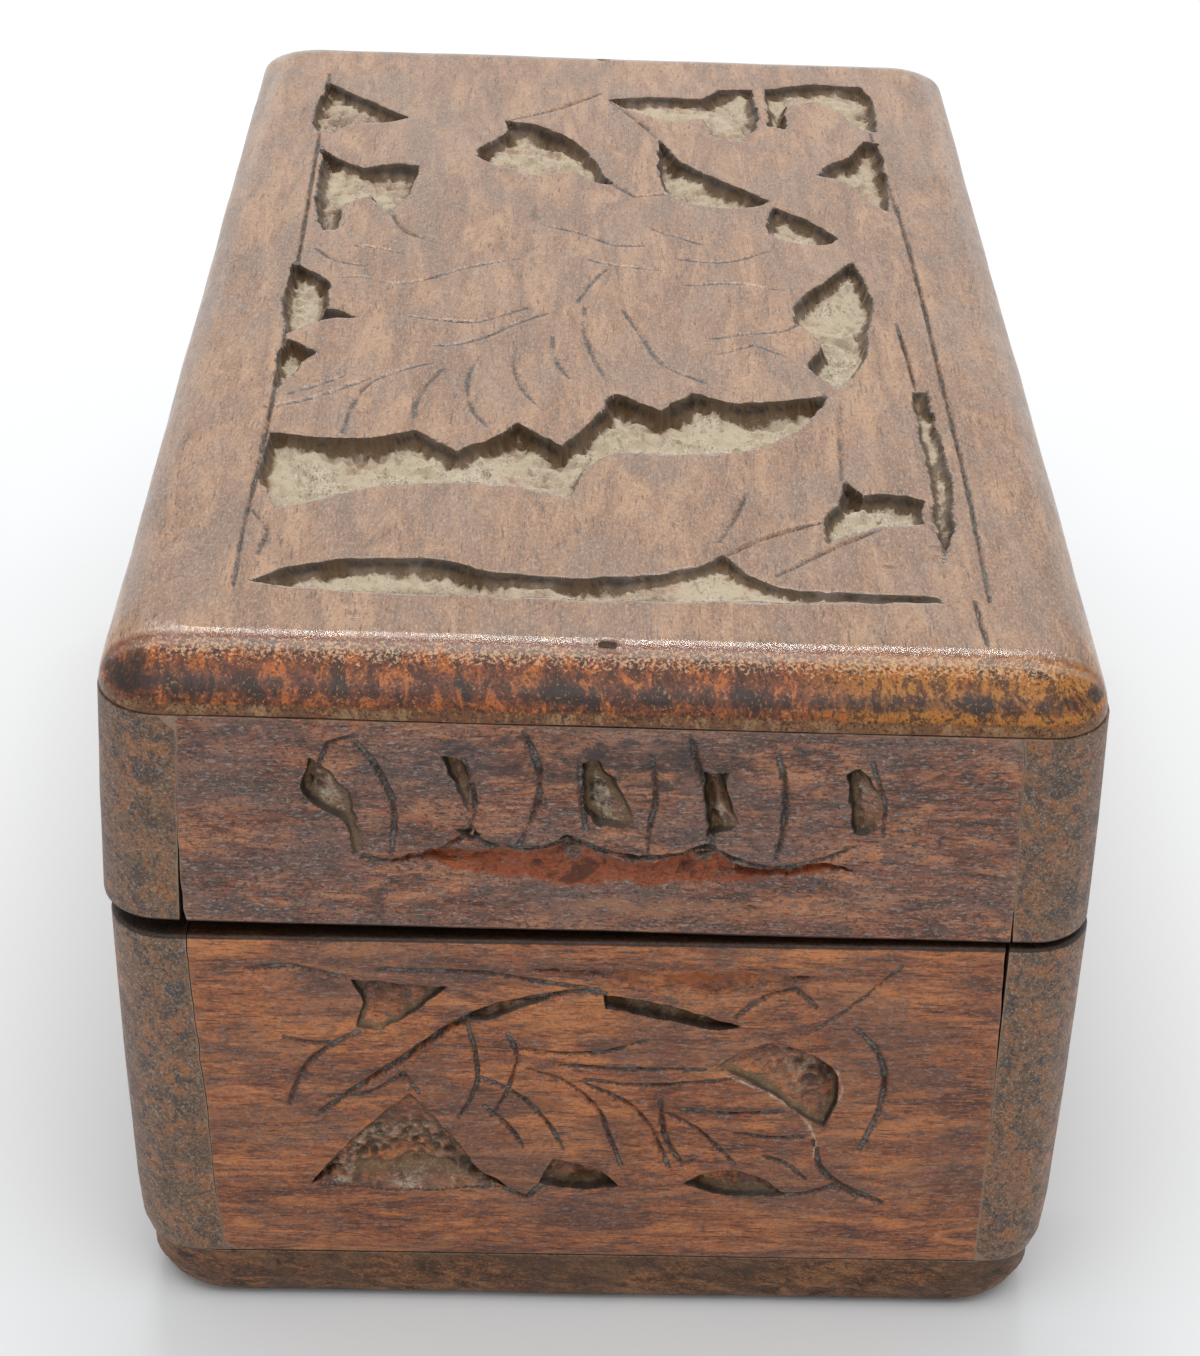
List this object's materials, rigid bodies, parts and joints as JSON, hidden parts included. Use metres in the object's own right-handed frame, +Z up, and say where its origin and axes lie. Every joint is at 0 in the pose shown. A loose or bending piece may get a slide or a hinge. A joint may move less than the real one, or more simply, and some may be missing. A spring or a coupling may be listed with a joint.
{
  "type": "carved wooden box",
  "caption": "Small hinged hardwood box, relief carved with leaves and a flower on the lid and walls, with worn round edges, a plain hollow inside and a flat bottom board.",
  "frame": {"origin": "centre of the flat underside of the bottom board", "axes": "+Z up, +Y along the box away from the near end, +X towards the hinges at the back; the front, where the lid opens, faces -X"},
  "size_m": [0.0941, 0.1628, 0.0731],
  "materials": {
    "carved_hardwood": "waxed, worn and handled, dusty in the cuts",
    "end_wall_hardwood": "waxed, worn, with dark wax in the pores",
    "bottom_board_hardwood": "dark, rubbed dull",
    "hinge_brass": "aged, unpolished",
    "iron": "dark with light rust"
  },
  "bodies": {
    "base": {"base_bottom_board": "bottom_board_hardwood", "base_near_end_wall": "end_wall_hardwood", "base_far_end_wall": "end_wall_hardwood", "base_front_wall": "carved_hardwood", "base_back_wall": "carved_hardwood", "near_hinge_base_leaf": "hinge_brass", "far_hinge_base_leaf": "hinge_brass", "near_hinge_pin": "iron", "far_hinge_pin": "iron", "near_hinge_base_screw_1": "hinge_brass", "near_hinge_base_screw_2": "hinge_brass", "far_hinge_base_screw_1": "hinge_brass", "far_hinge_base_screw_2": "hinge_brass"},
    "lid": {"lid_top_board": "carved_hardwood", "lid_near_end_wall": "end_wall_hardwood", "lid_far_end_wall": "end_wall_hardwood", "lid_front_wall": "carved_hardwood", "lid_back_wall": "carved_hardwood", "lid_nail_near": "iron", "lid_nail_far": "iron", "near_hinge_lid_leaf": "hinge_brass", "far_hinge_lid_leaf": "hinge_brass", "near_hinge_lid_screw_1": "hinge_brass", "near_hinge_lid_screw_2": "hinge_brass", "far_hinge_lid_screw_1": "hinge_brass", "far_hinge_lid_screw_2": "hinge_brass"}
  },
  "joints": [
    {"name": "lid_hinge", "type": "hinge", "parent": "base", "child": "lid", "pos_m": [0.04695, 0, 0.04475], "axis": [0, 1, 0], "range_deg": [0, 180]}
  ]
}
